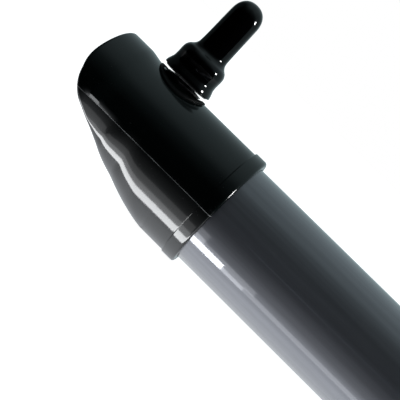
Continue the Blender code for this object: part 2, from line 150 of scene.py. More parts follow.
def tube_coating():
    """Dark grey lacquer with faint lengthwise drawing marks, orange peel and handling scuffs."""
    made, g = new_material("tube_coating", (0.25, 0.262, 0.29), 0.2, 0.2)
    drawn = g.noise(g.place((48, 1.2, 1), "UV"), 3.0, 4.0, 0.6)
    cloud = g.noise(g.place(), 45.0, 3.0)
    peel = g.noise(g.place(), 900.0, 2.0)
    scuff_lines = g.noise(g.place((700, 90, 500)), 1.0, 5.0, 0.65)
    scuff = g.between(scuff_lines, 0.66, 0.74)
    base = g.mix(g.between(drawn, 0.35, 0.7), (0.165, 0.170, 0.190), (0.284, 0.292, 0.326))
    base = g.mix(g.math("MULTIPLY", scuff, 0.35), base, (0.32, 0.335, 0.35))
    rough = g.math("ADD", g.between(cloud, 0.3, 0.7, 0.12, 0.17), g.math("MULTIPLY", scuff, 0.12))
    relief = g.bump(drawn, 0.02, 0.0002)
    g.set(Base_Color=base, Roughness=rough, Normal=g.bump(peel, 0.03, 0.0001, relief))
    g.set(Specular_IOR_Level=0.25, Coat_Weight=0.9, Coat_Roughness=0.035)
    return made


def shoe_plastic():
    """Black moulded plastic: soft gloss, faint moulding flow, dust specks and hairline scratches."""
    made, g = new_material("shoe_plastic", (0.006, 0.0075, 0.0072), 0.2)
    flow = g.noise(g.place((1, 0.35, 1)), 60.0, 4.0, 0.6)
    grain = g.noise(g.place(), 1800.0, 2.0)
    speck = g.between(g.noise(g.place(), 1500.0, 1.0), 0.76, 0.79)
    hair = g.between(g.noise(g.place((2200, 160, 900)), 1.0, 3.0, 0.7), 0.72, 0.78)
    # the flash along the split is painted pale in patches: partly its own rubbed whitening, partly a painted
    # highlight along the seam
    wear_and_highlight = g.between(g.noise(g.place((0.2, 1, 0.2)), 110.0, 3.0), 0.38, 0.6, 0.25, 1.0)
    flash = g.math("MULTIPLY", g.attribute("flash"), wear_and_highlight)
    marks = g.math("MAXIMUM", g.math("MULTIPLY", speck, 0.5), g.math("MULTIPLY", hair, 0.12))
    base = g.mix(g.between(flow, 0.35, 0.7), (0.0030, 0.0055, 0.0054), (0.0062, 0.0098, 0.0096))
    base = g.mix(marks, base, (0.06, 0.062, 0.06))
    base = g.mix(flash, base, (0.5, 0.505, 0.505))
    rough = g.between(flow, 0.3, 0.75, 0.09, 0.14)
    rough = g.math("ADD", rough, g.math("MULTIPLY", g.math("MAXIMUM", marks, flash), 0.4))
    relief = g.bump(flow, 0.05, 0.0004)
    g.set(Base_Color=base, Roughness=rough, Normal=g.bump(grain, 0.02, 0.00004, relief))
    return made


def dipped_vinyl():
    """Wet-looking black dip with slow ripples where it ran and set."""
    made, g = new_material("dipped_vinyl", (0.0015, 0.0015, 0.002), 0.05)
    ripple = g.noise(g.place((1, 1, 0.6)), 190.0, 2.0, 0.4)
    dust = g.between(g.noise(g.place(), 2100.0, 1.0), 0.77, 0.8)
    base = g.mix(g.math("MULTIPLY", dust, 0.3), (0.0012, 0.0012, 0.0016), (0.03, 0.03, 0.03))
    g.set(Base_Color=base, Roughness=g.between(ripple, 0.3, 0.7, 0.03, 0.075))
    g.set(Normal=g.bump(ripple, 0.22, 0.0006))
    return made


def black_steel():
    """Black oxide over steel, rubbed bright on thread crests and corners."""
    made, g = new_material("black_steel", (0.012, 0.012, 0.013), 0.3, 0.3)
    patch = g.between(g.noise(g.place(), 700.0, 4.0), 0.35, 0.65, 0.35, 1.0)
    share = g.math("MULTIPLY", g.attribute("crest"), patch)
    fine = g.noise(g.place(), 2400.0, 3.0)
    g.set(Base_Color=g.mix(share, (0.010, 0.010, 0.011), (0.42, 0.42, 0.42)))
    g.set(Roughness=g.between(fine, 0.3, 0.7, 0.22, 0.4), Normal=g.bump(fine, 0.12, 0.00006))
    return made


def zinc_steel():
    """Bright zinc plating with a faint crystal pattern, dull patches and fine rubbing marks."""
    made, g = new_material("zinc_steel", (0.5, 0.51, 0.53), 0.3, 1.0)
    cells = g.node("ShaderNodeTexVoronoi", Vector=g.place(), Scale=420.0).outputs["Color"]
    tone = g.node("ShaderNodeSeparateColor", Color=cells).outputs[0]
    dull = g.noise(g.place(), 90.0, 4.0, 0.6)
    fine = g.noise(g.place((1, 0.15, 1)), 2600.0, 3.0)
    base = g.mix(tone, (0.44, 0.45, 0.48), (0.56, 0.57, 0.60))
    base = g.mix(g.between(dull, 0.55, 0.75, 0.0, 0.5), base, (0.30, 0.30, 0.30))
    g.set(Base_Color=base, Roughness=g.between(dull, 0.3, 0.7, 0.2, 0.42))
    g.set(Normal=g.bump(fine, 0.08, 0.00005))
    return made


def block_plastic():
    """Spark-eroded black plastic with slightly greyed edges of wear."""
    made, g = new_material("block_plastic", (0.016, 0.016, 0.017), 0.5)
    grain = g.noise(g.place(), 1500.0, 3.0, 0.6)
    cloud = g.noise(g.place(), 60.0, 3.0)
    edge = g.node("ShaderNodeNewGeometry").outputs["Pointiness"]
    rub = g.math("MULTIPLY", g.between(edge, 0.52, 0.6), g.between(cloud, 0.3, 0.7, 0.2, 0.8))
    g.set(Base_Color=g.mix(rub, (0.014, 0.014, 0.015), (0.07, 0.07, 0.07)))
    g.set(Roughness=g.between(cloud, 0.3, 0.7, 0.42, 0.58), Normal=g.bump(grain, 0.25, 0.0001))
    return made


def rubber():
    """Matt black rubber with a dusty bloom."""
    made, g = new_material("rubber", (0.012, 0.012, 0.012), 0.75)
    bloom = g.noise(g.place(), 130.0, 5.0, 0.65)
    fine = g.noise(g.place(), 1800.0, 3.0)
    g.set(Base_Color=g.mix(g.between(bloom, 0.4, 0.75), (0.010, 0.010, 0.010), (0.032, 0.031, 0.030)))
    g.set(Roughness=g.between(bloom, 0.3, 0.7, 0.6, 0.85), Normal=g.bump(fine, 0.3, 0.0001))
    return made


def seat_black():
    """Smooth jet-black sealing rubber with weak reflections, partly painted shade of the grip's shadow."""
    made, g = new_material("seat_black", (0.001, 0.001, 0.001), 0.5)
    fine = g.noise(g.place(), 1200.0, 3.0)
    g.set(Roughness=g.between(fine, 0.3, 0.7, 0.45, 0.65), Normal=g.bump(fine, 0.1, 0.00005))
    g.set(Base_Color=g.mix(g.between(fine, 0.4, 0.8), (0.0008, 0.0008, 0.0008), (0.003, 0.003, 0.003)))
    g.set(Specular_IOR_Level=0.2)
    return made


# ---------------------------------------------------------------- mesh helpers

def at(x, y, z=AXIS_Z):
    return Matrix.Translation((x, y, z))


ALONG_X = Matrix.Rotation(math.radians(90), 4, "Y")
ALONG_Y = Matrix.Rotation(math.radians(-90), 4, "X")


def new_mesh(name, mesh_bm):
    mesh = bpy.data.meshes.new(name)
    mesh_bm.to_mesh(mesh)
    mesh_bm.free()
    return mesh


def new_object(name, data):
    made = bpy.data.objects.new(name, data)
    bpy.context.scene.collection.objects.link(made)
    return made


def finish_piece(name, mesh_bm, material, place, body, nodes, sharp=SHARP_ANGLE):
    """Make the object, shade it, ride it on its body and hide the CAD nodes it stands for."""
    bmesh.ops.recalc_face_normals(mesh_bm, faces=mesh_bm.faces)
    mesh = new_mesh(name, mesh_bm)
    mesh.shade_smooth()
    mesh.set_sharp_from_angle(angle=math.radians(sharp))
    mesh.materials.append(material)
    piece = new_object(name, mesh)
    piece.matrix_world = place
    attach(piece, body)
    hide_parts(*nodes)
    return piece


def skin(mesh_bm, rings, closed=False):
    """Quads, or triangles at a pole, between neighbouring rings of vertices."""
    pairs = list(zip(rings, rings[1:]))
    if closed:
        pairs.append((rings[-1], rings[0]))
    faces = []
    for low, high in pairs:
        count = max(len(low), len(high))
        for i in range(count):
            j = (i + 1) % count
            loop = [low[i % len(low)], low[j % len(low)], high[j % len(high)], high[i % len(high)]]
            corners = list(dict.fromkeys(loop))
            if len(corners) > 2:
                faces.append(mesh_bm.faces.new(corners))
    return faces


def circle(radius, height, facets):
    turns = [2 * math.pi * i / facets for i in range(facets)]
    return [Vector((radius * math.cos(a), radius * math.sin(a), height)) for a in turns]


def lathe(profile, facets=96):
    """Solid of revolution about Z from (radius, height) points: closed at the axis, or on itself."""
    mesh_bm = bmesh.new()
    rings = []
    for radius, height in profile:
        points = circle(radius, height, facets) if radius else [Vector((0, 0, height))]
        rings.append([mesh_bm.verts.new(p) for p in points])
    on_axis = len(rings[0]) == 1 and len(rings[-1]) == 1
    skin(mesh_bm, rings, closed=not on_axis)
    return mesh_bm


def rod(radius, low, high, facets=32):
    """Plain round bar about Z, mostly to cut a hole with."""
    return lathe([(0, low), (radius, low), (radius, high), (0, high)], facets)


def arc(centre, radius, start, end, steps):
    """Points of a round stretch of profile, angles in degrees."""
    turns = [math.radians(start + (end - start) * i / steps) for i in range(steps + 1)]
    return [(centre[0] + radius * math.cos(a), centre[1] + radius * math.sin(a)) for a in turns]


def smooth_step(value):
    value = min(max(value, 0.0), 1.0)
    return value * value * (3 - 2 * value)


def across_path(path, i):
    """Level direction at right angles to a path at one of its points."""
    ahead = path[min(i + 1, len(path) - 1)] - path[max(i - 1, 0)]
    return Vector((ahead.y, -ahead.x, 0)).normalized()


def sweep(path, walls, facets=96):
    """A tube with an outer and an inner wall along a level path, with UVs round and along it in metres."""
    girth = 0.12
    mesh_bm = bmesh.new()
    uv = mesh_bm.loops.layers.uv.new("lay")
    lengths = [0.0]
    for a, b in zip(path, path[1:]):
        lengths.append(lengths[-1] + (b - a).length)
    shells = []
    for wall in walls:
        rings = []
        for i, point in enumerate(path):
            across = across_path(path, i)
            ring = [point + across * p.x + Vector((0, 0, p.y)) for p in circle(wall, 0, facets)]
            rings.append([mesh_bm.verts.new(p) for p in ring])
        for i, (low, high) in enumerate(zip(rings, rings[1:])):
            for j, face in enumerate(skin(mesh_bm, [low, high])):
                for loop in face.loops:
                    at_low = loop.vert in (low[j], low[(j + 1) % facets])
                    near = loop.vert in (low[j], high[j])
                    loop[uv].uv = ((j if near else j + 1) / facets * girth, lengths[i if at_low else i + 1])
        shells.append(rings)
    for end in (0, -1):
        skin(mesh_bm, [shells[0][end], shells[1][end]])
    return mesh_bm


def slice_off(mesh_bm, point, normal):
    """Remove what lies beyond a plane and close the cut."""
    everything = list(mesh_bm.verts) + list(mesh_bm.edges) + list(mesh_bm.faces)
    result = bmesh.ops.bisect_plane(
        mesh_bm, geom=everything, plane_co=point, plane_no=normal, clear_outer=True, dist=1e-8,
    )
    edges = [item for item in result["geom_cut"] if isinstance(item, bmesh.types.BMEdge)]
    bmesh.ops.contextual_create(mesh_bm, geom=edges)
    return mesh_bm


def block(size, bevel, segments=4):
    """Box round its centre, with rounded edges."""
    mesh_bm = bmesh.new()
    bmesh.ops.create_cube(mesh_bm, size=1.0, matrix=Matrix.Diagonal((*size, 1)))
    bmesh.ops.bevel(
        mesh_bm, geom=list(mesh_bm.edges), offset=bevel, segments=segments, profile=0.5, affect="EDGES",
    )
    return mesh_bm


def settle(piece):
    """Keep what the modifiers make of a piece as its plain mesh."""
    bpy.context.view_layer.update()
    result = bpy.data.meshes.new_from_object(piece.evaluated_get(bpy.context.evaluated_depsgraph_get()))
    piece.modifiers.clear()
    piece.data = result


def boolean(piece, cutters, operation="DIFFERENCE"):
    """Cut shapes out of a piece, or join or intersect it with them, and keep the result as plain mesh."""
    helpers = []
    for cutter_bm, place in cutters:
        bmesh.ops.recalc_face_normals(cutter_bm, faces=cutter_bm.faces)
        helper = new_object("helper", new_mesh("helper", cutter_bm))
        helper.matrix_world = place
        change = piece.modifiers.new("cut", "BOOLEAN")
        change.operation = operation
        change.object = helper
        helpers.append(helper)
    settle(piece)
    for helper in helpers:
        bpy.data.objects.remove(helper)
    piece.data.set_sharp_from_angle(angle=math.radians(SHARP_ANGLE))
    return piece


def mark(mesh, name, rule):
    """Store a number for each vertex, for a material to read."""
    attribute = mesh.attributes.new(name, "FLOAT", "POINT")
    attribute.data.foreach_set("value", [rule(vert.co) for vert in mesh.vertices])


# ---------------------------------------------------------------- shoe

# Distances along the shoe start at its mouth, heights at the tube's axis
SHOE_R = 21.05 * MM
COLLAR_R = 21.65 * MM
COLLAR_WIDTH = 4.8 * MM
# the sole rises towards the nose from SOLE_FROM on, and a little more at the toe
SOLE_FROM = 14 * MM
SOLE_SLOPE = 0.22
SOLE_CURVE = 4.8
TOE_LIFT = 1.8 * MM
TOE_FROM = 34 * MM
TOE_OVER = 13 * MM
NOSE_ARC_R = 9.2 * MM
# the end face: how far its top leans back, the radius of its edge, and how far it is full at the split
NOSE_LEAN = 1.85 * MM
NOSE_EDGE = 0.9 * MM
NOSE_FULL = 0.45 * MM
# radius of the edge between wall and sole, from mouth to nose
HEEL_FILLET = 16.4 * MM
NOSE_FILLET = 1.4 * MM
FILLET_FROM = 31.5 * MM
FILLET_OVER = 18 * MM
WALL_LEAN = math.radians(11)
NOSE_SWELL = 1 * MM
SWELL_FROM = 45 * MM
SWELL_OVER = 8 * MM
PAD_AT = 27 * MM
PAD_SIZE = (8 * MM, 14 * MM, 1.35 * MM)
PAD_PROUD = 0.15 * MM
SOLE_WALL = 5 * MM
TUBE_END = 46.5 * MM
FLASH_HALF = 0.1 * MM
# round holes for the insert nut's neck
SHELL_NECK_HOLE_R = 5.8 * MM
TUBE_NECK_HOLE_R = 6.1 * MM


def shoe_place(side):
    return at(ARM_X if side == "right" else -ARM_X, MOUTH_Y)


def screw_place(side):
    return shoe_place(side) @ Matrix.Translation((0, SCREW_AT, 0))


def sole_depth(y):
    """How far the sole lies below the tube's axis at a distance y from the mouth."""
    along = max(y - SOLE_FROM, 0)
    rise = SOLE_SLOPE * along + SOLE_CURVE * along ** 2 + TOE_LIFT * smooth_step((y - TOE_FROM) / TOE_OVER)
    past = max(y - (SHOE_LENGTH - NOSE_ARC_R), 0)
    return SHOE_R - rise - NOSE_ARC_R + math.sqrt(max(NOSE_ARC_R ** 2 - past ** 2, 0))


def sole_tilt():
    """The middle of the tread on the sole, in the shoe's own frame, with Z towards the inside of the shoe."""
    angle = math.atan(SOLE_SLOPE + 2 * SOLE_CURVE * (PAD_AT - SOLE_FROM))
    return Matrix.Translation((0, PAD_AT, -sole_depth(PAD_AT))) @ Matrix.Rotation(angle, 4, "X")


def wall_lean(y, spare):
    """How much the walls below the split lean inwards, as far as there is wall above the fillet."""
    lean = smooth_step((y - 24 * MM) / (8 * MM)) + smooth_step((y - 36 * MM) / (16 * MM))
    return WALL_LEAN * lean / 2 * smooth_step(spare / (3 * MM))


def shoe_section(y, radius, inset, crown=64, wall=20, corner=20, floor=10):
    """Closed outline: round above the split, leaning walls below it, and a filleted flat for the sole."""
    depth = min(sole_depth(y) - inset, radius)
    fillet = HEEL_FILLET + (NOSE_FILLET - HEEL_FILLET) * smooth_step((y - FILLET_FROM) / FILLET_OVER)
    lean = wall_lean(y, depth - fillet)
    wall_x, wall_z = radius * (math.cos(lean) - 1), radius * math.sin(lean)
    spread = radius - fillet
    fall = max(min(fillet - depth - wall_z, spread), -spread)
    reach = math.sqrt(spread ** 2 - fall ** 2)
    tangent = math.atan2(fall, reach)
    top = max(tangent, 0.0)
    half = []
    for i in range(crown // 2):
        turn = math.pi / 2 + (top - math.pi / 2) * i / (crown // 2)
        half.append((radius * math.cos(turn), radius * math.sin(turn)))
    begin = tangent if tangent > 0 else -lean
    for i in range(wall):
        turn = begin + (tangent - begin) * i / wall
        half.append((wall_x + radius * math.cos(turn), wall_z + radius * math.sin(turn)))
    centre = (wall_x + reach, fillet - depth)
    for i in range(corner):
        turn = tangent - (math.pi / 2 + tangent) * i / corner
        half.append((centre[0] + fillet * math.cos(turn), centre[1] + fillet * math.sin(turn)))
    for i in range(floor):
        half.append((centre[0] * (1 - i / floor), -depth))
    points = [*half, (0.0, -depth), *[(-x, z) for x, z in reversed(half[1:])]]
    return [Vector((x, y, z)) for x, z in points]


def body_radius(y):
    return SHOE_R + NOSE_SWELL * smooth_step((y - SWELL_FROM) / SWELL_OVER)


def shoe_body():
    """Outer form of the shoe: lipped collar, a small step down, the round body and the leaning nose."""
    lip = 1.1 * MM
    stations = [(0.0, COLLAR_R - lip - 0.25 * MM, 0.0), (0.0, COLLAR_R - lip, 0.0)]
    for r, y in arc((COLLAR_R - lip, lip), lip, -90, 0, 8)[1:]:
        stations.append((y, r, 0.0))
    corner = 0.25 * MM
    for r, y in arc((COLLAR_R - corner, COLLAR_WIDTH - corner), corner, 0, 90, 4):
        stations.append((y, r, 0.0))
    root = 0.2 * MM
    for r, y in arc((SHOE_R + root, COLLAR_WIDTH + root), root, -90, -180, 4):
        stations.append((y, r, 0.0))
    start, end = COLLAR_WIDTH + root, SHOE_LENGTH - NOSE_EDGE
    count = 75
    for i in range(1, count + 1):
        y = start + (end - start) * i / count
        stations.append((y, body_radius(y), 0.0))
    steps = 7
    for i in range(1, steps + 1):
        turn = math.pi / 2 * i / steps
        shrink = NOSE_EDGE * (1 - math.cos(turn))
        stations.append((end + NOSE_EDGE * math.sin(turn) - 1e-7 * i, body_radius(end) - shrink, shrink))
    mesh_bm = bmesh.new()
    rings = []
    for y, radius, inset in stations:
        rings.append([mesh_bm.verts.new(p) for p in shoe_section(y, radius, inset)])
    skin(mesh_bm, rings)
    mesh_bm.faces.new(rings[0])
    mesh_bm.faces.new(rings[-1])
    # the end face leans back over its upper part and is full round the split
    for vert in mesh_bm.verts:
        above = max(vert.co.z - 7 * MM, 0) / (17 * MM)
        level = max(1 - (vert.co.z / (5 * MM)) ** 2, 0)
        front = smooth_step((vert.co.y - 48 * MM) / (10 * MM))
        vert.co.y += (NOSE_FULL * level - NOSE_LEAN * above ** 2) * front
    bmesh.ops.remove_doubles(mesh_bm, verts=mesh_bm.verts, dist=2e-7)
    return mesh_bm


def shoe_bore(radius, end):
    """Room for the tube, with a mitred end that leaves the sole its wall."""
    mesh_bm = rod(radius, -10 * MM, end, 96)
    mesh_bm.transform(ALONG_Y)
    tilt = sole_tilt() @ Matrix.Translation((0, 0, SOLE_WALL))
    return slice_off(mesh_bm, tilt.translation, -tilt.col[2].to_3d())


def make_shell(side, half, plastic):
    """Half a shoe, split level with the tube's axis, with room there for the flash."""
    direction = 1 if half == "upper" else -1
    mesh_bm = shoe_body()
    slice_off(mesh_bm, Vector((0, 0, direction * FLASH_HALF)), Vector((0, 0, -direction)))
    name = f"shoe_{half}_shell"
    piece = finish_piece(
        f"{name}_{side}_moulding", mesh_bm, plastic, shoe_place(side), "frame", [f"{name}_{side}"],
    )
    cutters = [(shoe_bore(TUBE_R + 0.22 * MM, TUBE_END + 0.3 * MM), shoe_place(side))]
    if half == "upper":
        cutters.append((rod(SHELL_NECK_HOLE_R, 0, 30 * MM, 48), screw_place(side)))
    else:
        recess = block((PAD_SIZE[0] + 0.6 * MM, PAD_SIZE[1] + 0.6 * MM, 3 * MM), 0.3 * MM, 2)
        cutters.append((recess, shoe_place(side) @ sole_tilt()))
        hole = lathe([
            (0, -20 * MM), (3.2 * MM, -20 * MM), (3.2 * MM, -1.7 * MM), (1.8 * MM, -1.7 * MM),
            (1.8 * MM, 10.3 * MM), (0, 10.3 * MM),
        ], 32)
        cutters.append((hole, shell_screw_place(side)))
    return boolean(piece, cutters)


def shell_screw_place(side):
    low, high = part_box(f"shell_screw_{side}")
    return at((low.x + high.x) / 2, (low.y + high.y) / 2)


def make_flash(side, plastic):
    """The thin ridge that the two mould halves left along their split, painted pale: partly rubbed whitening,
    partly a painted highlight along the seam.
    """
    mesh_bm = shoe_body()
    proud = 0.06 * MM
    for vert in mesh_bm.verts:
        vert.co += Vector((vert.co.x, 0, vert.co.z)).normalized() * proud
        vert.co.y += proud * smooth_step((vert.co.y - SHOE_LENGTH + NOSE_EDGE) / NOSE_EDGE)
    for direction in (1, -1):
        level = Vector((0, 0, direction * (FLASH_HALF - 0.005 * MM)))
        slice_off(mesh_bm, level, Vector((0, 0, direction)))
    piece = finish_piece(
        f"shoe_flash_{side}", mesh_bm, plastic, shoe_place(side), "frame", [f"shoe_upper_shell_{side}"],
    )
    boolean(piece, [(shoe_bore(TUBE_R + 0.25 * MM, TUBE_END + 0.4 * MM), shoe_place(side))])
    mark(piece.data, "flash", lambda point: 1.0)
    return piece


def make_sole_pad(side, material):
    """Rubber tread: a thin pad with cross grooves."""
    place = shoe_place(side) @ sole_tilt() @ Matrix.Translation((0, 0, PAD_SIZE[2] / 2 - PAD_PROUD))
    piece = finish_piece(
        f"sole_tread_{side}", block(PAD_SIZE, 0.4 * MM, 3), material, place, "frame", [f"sole_pad_{side}"],
    )
    grooves = []
    for i in range(5):
        shift = Matrix.Translation((0, (i - 2) * 2.6 * MM, -PAD_SIZE[2] / 2))
        grooves.append((block((30 * MM, 0.9 * MM, 1 * MM), 0.15 * MM, 2), place @ shift))
    return boolean(piece, grooves)


def make_shell_screw(side, material):
    """Pan-head tapping screw with a cross recess, pointing up into the nose."""
    place = shell_screw_place(side)
    low, high = (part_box(f"shell_screw_{side}")[i].z - AXIS_Z for i in (0, 1))
    head, shank, seat = 2.8 * MM, 1.5 * MM, low + 1.6 * MM
    profile = [(0, low)] + arc((head - 1.1 * MM, low + 1.1 * MM), 1.1 * MM, -90, 0, 6)
    profile += [(head, seat), (shank, seat), (shank, high - 2 * MM), (0, high)]
    piece = finish_piece(
        f"shell_screw_{side}_pan_head", lathe(profile, 48), material, place, "frame", [f"shell_screw_{side}"],
    )
    bars = []
    for turn in (0, 90):
        spin = Matrix.Rotation(math.radians(turn), 4, "Z")
        bar = block((3.2 * MM, 0.7 * MM, 1.8 * MM), 0.1 * MM, 1)
        bars.append((bar, place @ Matrix.Translation((0, 0, low)) @ spin))
    return boolean(piece, bars)


# ---------------------------------------------------------------- clamp screw

def thread_radius(distance, turn, major, depth=0.62 * MM):
    """Radius and crest share of a right-hand thread at a distance along its axis and a turn round it."""
    phase = (distance / PITCH - turn / (2 * math.pi)) % 1.0
    height = min(max(1.6 * (1 - 2 * abs(phase - 0.5)) - 0.2, 0.0), 1.0)
    return major - depth * (1 - height), height


def hexagon(radius, low, high):
    """Hexagonal bar about Z, to cut a shape to six flats or to sink a key's socket."""
    mesh_bm = bmesh.new()
    rings = []
    for height in (low, high):
        rings.append([mesh_bm.verts.new(p) for p in circle(radius, height, 6)])
    skin(mesh_bm, rings)
    for ring in rings:
        mesh_bm.faces.new(ring)
    return mesh_bm


def make_seat_ring(side, material):
    """Flat rubber ring that follows the shell's round crown, and reaches further down it than along it: the
    reach past a round ring is painted shade for the grip's shadow.
    """
    # stretched past the round ring, so that its black also stands in for the grip's shadow on the shell:
    # painted shade
    stretch = 1.12
    inner, outer, thick = 8.1 * MM, 9.5 * MM, 0.45 * MM
    low = SHOE_R + 0.02 * MM
    section = [(inner, low), (outer, low), (outer, low + thick - 0.15 * MM), (outer - 0.15 * MM, low + thick)]
    section += [(inner + 0.1 * MM, low + thick), (inner, low + thick - 0.1 * MM)]
    mesh_bm = bmesh.new()
    rings = []
    for radius, crown in section:
        ring = []
        for p in circle(radius, 0, 96):
            x = p.x * stretch
            ring.append(Vector((x, p.y, math.sqrt(crown ** 2 - x ** 2))))
        rings.append([mesh_bm.verts.new(p) for p in ring])
    skin(mesh_bm, rings, closed=True)
    return finish_piece(
        f"seat_ring_{side}_rubber", mesh_bm, material, screw_place(side), "frame", [f"seat_ring_{side}"],
    )


def make_insert_nut(side, material):
    """Hexagon with a low, finely turned cone, over a round neck that passes through shell and tube."""
    low, rim, top = SHOE_R + 0.1 * MM, SHOE_R + 0.3 * MM, SHOE_R + 0.85 * MM
    corner, crown, bore = 7.8 * MM, 4.6 * MM, 4.22 * MM
    rings, groove = 6, 0.1 * MM
    profile = [(0, low), (corner + 1 * MM, low), (corner + 1 * MM, rim)]
    for i in range(2 * rings + 1):
        share = i / (2 * rings)
        height = rim + (top - rim) * share - (groove if i % 2 else 0)
        profile.append((corner - 0.1 * MM + (crown - corner) * share, height))
    profile += [(0, top)]
    piece = finish_piece(
        f"insert_nut_{side}_hex", lathe(profile, 72), material, screw_place(side), "frame",
        [f"insert_nut_{side}"],
    )
    boolean(piece, [(hexagon(corner, low - 1 * MM, top + 1 * MM), screw_place(side))], "INTERSECT")
    neck = rod(5.5 * MM, 16.5 * MM, low + 0.05 * MM, 64)
    boolean(piece, [(neck, screw_place(side))], "UNION")
    boolean(piece, [(rod(bore, 10 * MM, 30 * MM, 64), screw_place(side))])

    def rubbed(point):
        share = (math.hypot(point.x, point.y) - corner + 0.1 * MM) / (crown - corner)
        cone = rim + (top - rim) * share
        return 0.7 if share < 1.05 and point.z > cone - groove / 2 else 0.0

    mark(piece.data, "crest", rubbed)
    return piece


def make_captive_washer(side, material):
    """Thin flange under the grip, bright along its rim."""
    low, high = (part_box(f"captive_washer_{side}")[i].z - AXIS_Z for i in (0, 1))
    inner, outer, edge = 4.3 * MM, 8.5 * MM, 0.12 * MM
    profile = [(inner, low + edge), (inner + edge, low), (outer - edge, low), (outer, low + edge)]
    profile += [(outer, high - edge), (outer - edge, high), (inner + edge, high), (inner, high - edge)]
    piece = finish_piece(
        f"captive_washer_{side}_ring", lathe(profile, 96), material, screw_place(side),
        f"captive_washer_{side}", [f"captive_washer_{side}"],
    )
    mark(piece.data, "crest", lambda p: 1.0 if math.hypot(p.x, p.y) > outer - 1.5 * edge else 0.0)
    return piece


def make_clamp_screw(side, material):
    """M8 stud with a real helical thread, its flange and the core that the grip was dipped over."""
    low, high = (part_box(f"clamp_screw_{side}")[i].z - AXIS_Z for i in (0, 1))
    flange_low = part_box(f"captive_washer_{side}")[1].z - AXIS_Z + 0.1 * MM
    flange_high = flange_low + 1.3 * MM
    facets, rows = 64, 14
    mesh_bm = bmesh.new()
    crest = mesh_bm.verts.layers.float.new("crest")
    rings = [[mesh_bm.verts.new((0, 0, low))]]
    count = int((flange_low - low) / PITCH * rows)
    for i in range(count + 1):
        height = low + (flange_low - low) * i / count
        taper = min(height - low, 0.7 * MM) - 0.7 * MM
        ring = []
        for j in range(facets):
            turn = 2 * math.pi * j / facets
            radius, share = thread_radius(height, turn, 3.95 * MM)
            radius += taper
            vert = mesh_bm.verts.new((radius * math.cos(turn), radius * math.sin(turn), height))
            vert[crest] = share
            ring.append(vert)
        rings.append(ring)
    core = [(8.2 * MM, flange_low + 1e-6), (8.2 * MM, flange_high), (4.6 * MM, flange_high + 1e-6)]
    core += [(4.6 * MM, high - 2 * MM), (2.6 * MM, high)]
    for radius, height in core:
        rings.append([mesh_bm.verts.new(p) for p in circle(radius, height, facets)])
    rings.append([mesh_bm.verts.new((0, 0, high))])
    skin(mesh_bm, rings)
    return finish_piece(
        f"clamp_screw_{side}_stud", mesh_bm, material, screw_place(side), f"clamp_screw_{side}",
        [f"clamp_screw_{side}"], sharp=50,
    )


def spline(points, steps):
    """Smooth curve through points (Catmull-Rom)."""
    padded = [points[0], *points, points[-1]]
    made = []
    for a, b, c, d in zip(padded, padded[1:], padded[2:], padded[3:]):
        for i in range(steps):
            t = i / steps
            made.append(tuple(
                0.5 * (
                    2 * q + (r - p) * t + (2 * p - 5 * q + 4 * r - s) * t * t
                    + (3 * q - p - 3 * r + s) * t ** 3
                )
                for p, q, r, s in zip(a, b, c, d)
            ))
    return [*made, points[-1]]


def make_grip(side, material):
    """Bell-shaped skirt with a flared rim, a soft shoulder and a blunt round-ended stem."""
    bell = [
        (9.32, 0.25), (9.12, 1.2), (8.77, 2.2), (8.44, 3.2), (8.34, 4.4), (8.34, 5.6), (8.38, 6.8),
        (8.20, 8.2), (7.55, 9.4), (6.55, 10.3), (5.88, 11.3), (5.62, 12.8), (5.50, 17.0), (5.36, 25.8),
    ]
    outline = spline([(r * MM, RIM_Z + h * MM) for r, h in bell], 7)
    stem_r, dome_from = bell[-1][0] * MM, bell[-1][1] * MM
    dome, power = GRIP_HEIGHT - dome_from, 2.25
    steps = 18
    for i in range(1, steps):
        turn = math.pi / 2 * i / steps
        outline.append((
            stem_r * math.cos(turn) ** (2 / power), RIM_Z + dome_from + dome * math.sin(turn) ** (2 / power),
        ))
    outline.append((0, RIM_Z + GRIP_HEIGHT))
    flange_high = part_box(f"captive_washer_{side}")[1].z - AXIS_Z + 1.6 * MM
    core_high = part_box(f"clamp_screw_{side}")[1].z - AXIS_Z
    hollow = [
        (0, core_high + 0.2 * MM), (2.8 * MM, core_high + 0.2 * MM), (4.8 * MM, core_high - 1.9 * MM),
        (4.8 * MM, flange_high), (8.5 * MM, flange_high), (8.6 * MM, RIM_Z + 0.4 * MM),
        (8.85 * MM, RIM_Z + 0.02 * MM), (9.1 * MM, RIM_Z), (9.26 * MM, RIM_Z + 0.09 * MM),
    ]
    mesh_bm = lathe(hollow + outline, 112)
    unevenness = 0.07 * MM
    for vert in mesh_bm.verts:
        out = Vector((vert.co.x, vert.co.y, 0))
        if out.length > 5 * MM and vert.co.z > RIM_Z + 0.5 * MM:
            sag = noise.noise(Vector((vert.co.x * 160, vert.co.y * 160, vert.co.z * 90)))
            vert.co += out.normalized() * sag * unevenness
    return finish_piece(
        f"screw_grip_{side}_dip", mesh_bm, material, screw_place(side), f"clamp_screw_{side}",
        [f"screw_grip_{side}"], sharp=60,
    )


# ---------------------------------------------------------------- tubes and splices

def arm_path(side):
    """From the crossbar's end round the bend and along +Y into the shoe."""
    sign = 1 if side == "right" else -1
    low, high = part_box(f"arm_tube_{side}")
    start = low.x if side == "right" else high.x
    bend_r = 95 * MM
    centre = Vector((sign * (ARM_X - bend_r), CROSS_Y + bend_r, AXIS_Z))
    points = [Vector((start + (centre.x - start) * i / 6, CROSS_Y, AXIS_Z)) for i in range(6)]
    steps = 48
    for i in range(steps + 1):
        turn = math.pi / 2 * i / steps
        points.append(centre + bend_r * Vector((sign * math.sin(turn), -math.cos(turn), 0)))
    reach = MOUTH_Y + TUBE_END - centre.y
    return points + [Vector((sign * ARM_X, centre.y + reach * i / 12, AXIS_Z)) for i in range(1, 13)]


